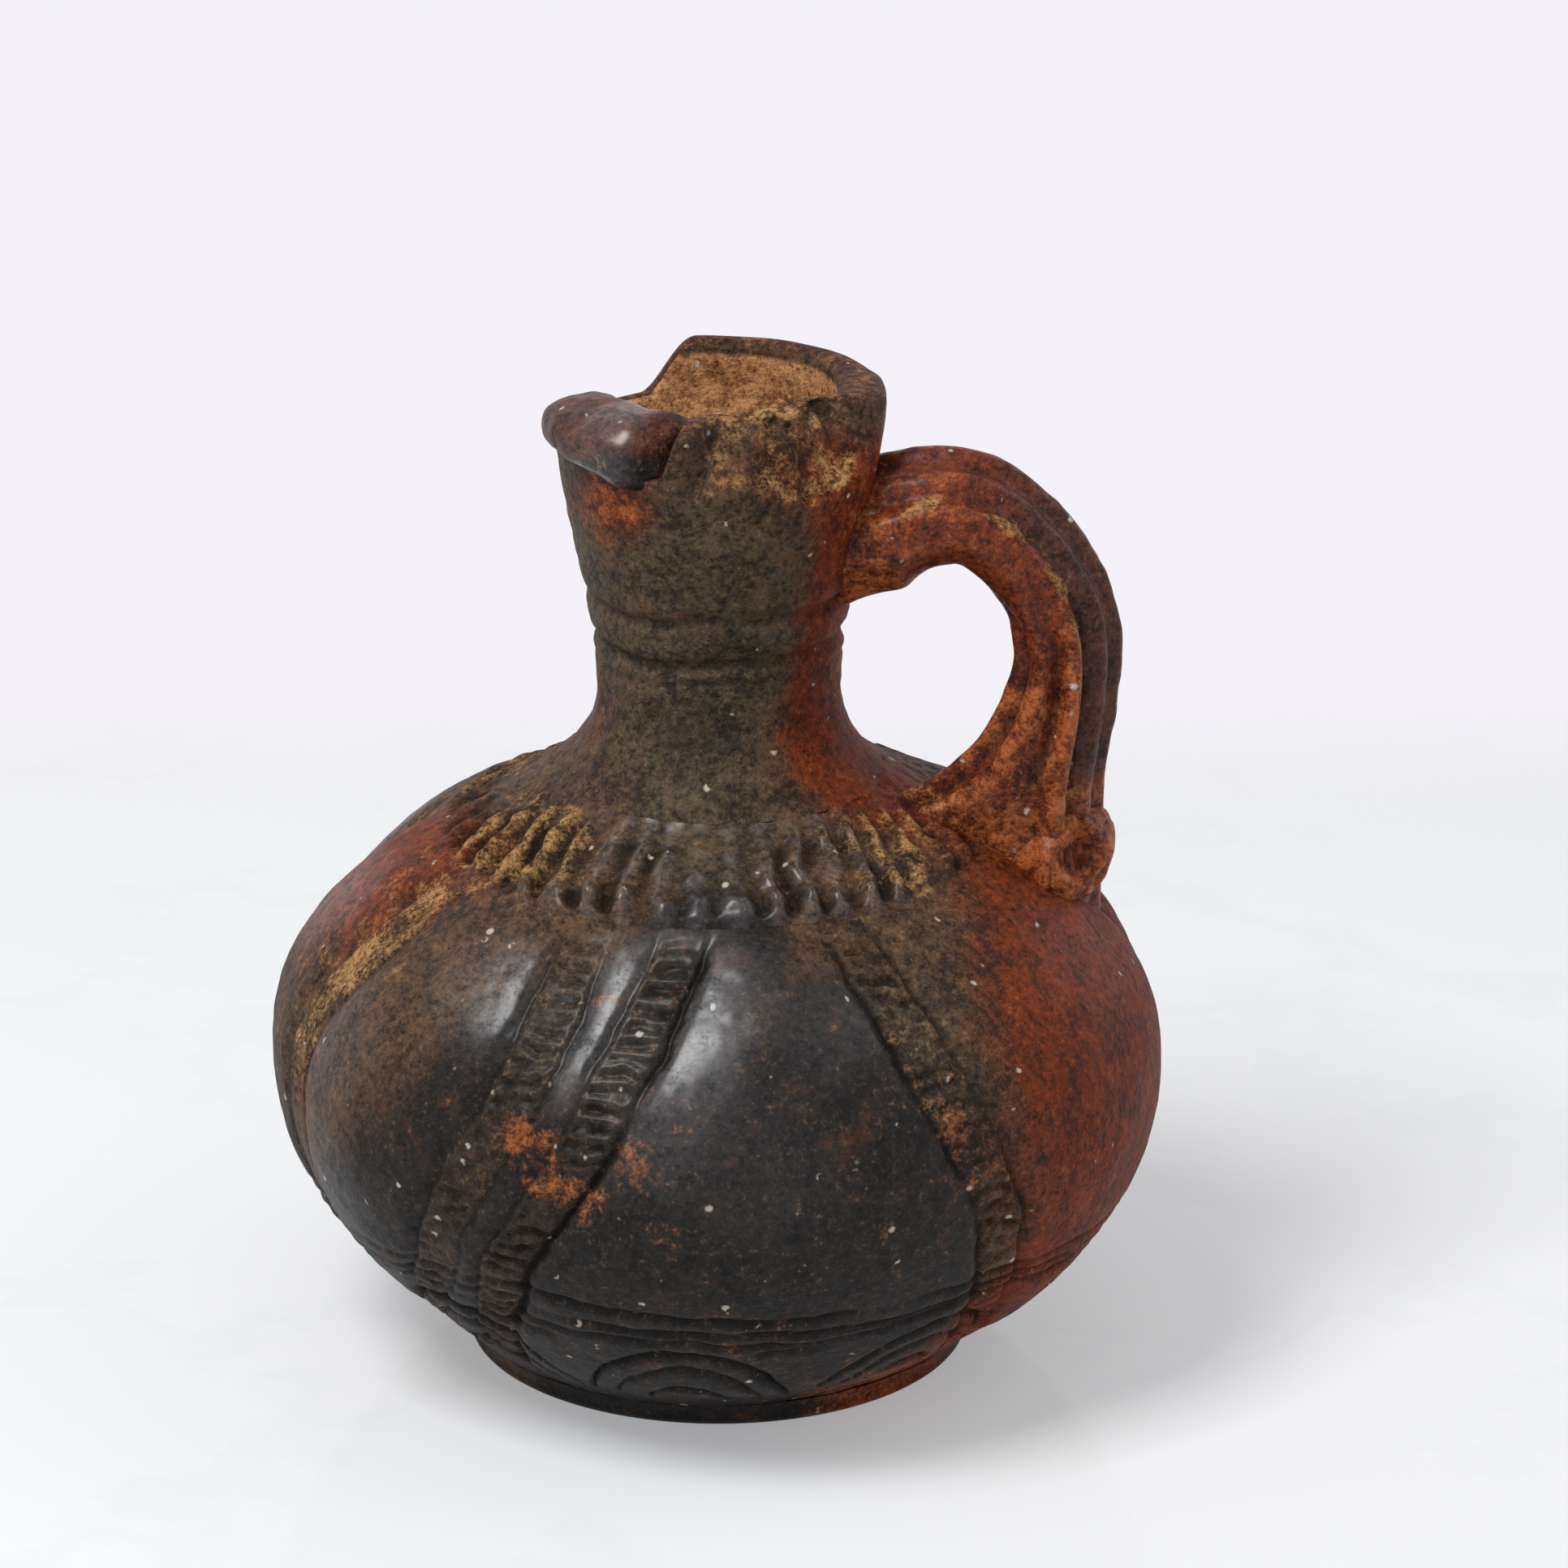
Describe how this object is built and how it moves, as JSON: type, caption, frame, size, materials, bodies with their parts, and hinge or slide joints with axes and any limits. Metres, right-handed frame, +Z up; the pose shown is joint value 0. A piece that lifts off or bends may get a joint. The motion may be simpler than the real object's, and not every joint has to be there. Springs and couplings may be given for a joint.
{
  "type": "jug",
  "caption": "Small hand-made pottery jug with a squat lobed body, ribbed collar, flared neck, pouring lip with a rolled edge and a ridged strap handle.",
  "frame": {"origin": "middle of the underside of the foot, where the jug rests on a table", "axes": "+Z up along the vessel's axis, +X towards the handle, -Y towards the front"},
  "size_m": [0.0899, 0.0903, 0.101],
  "materials": {
    "dark_clay": "smoke-blackened burnished fired clay",
    "grey_clay": "grey-brown matt fired clay",
    "lip_clay": "dark purple-brown burnished fired clay",
    "red_clay": "red-orange fired clay"
  },
  "bodies": {
    "root": {"foot_disc": "dark_clay", "lower_body": "dark_clay", "upper_body": "dark_clay", "collar": "grey_clay", "neck": "grey_clay", "rim_wall": "grey_clay", "lip_roll": "lip_clay", "handle_strap": "red_clay", "handle_terminal": "red_clay"}
  },
  "joints": []
}
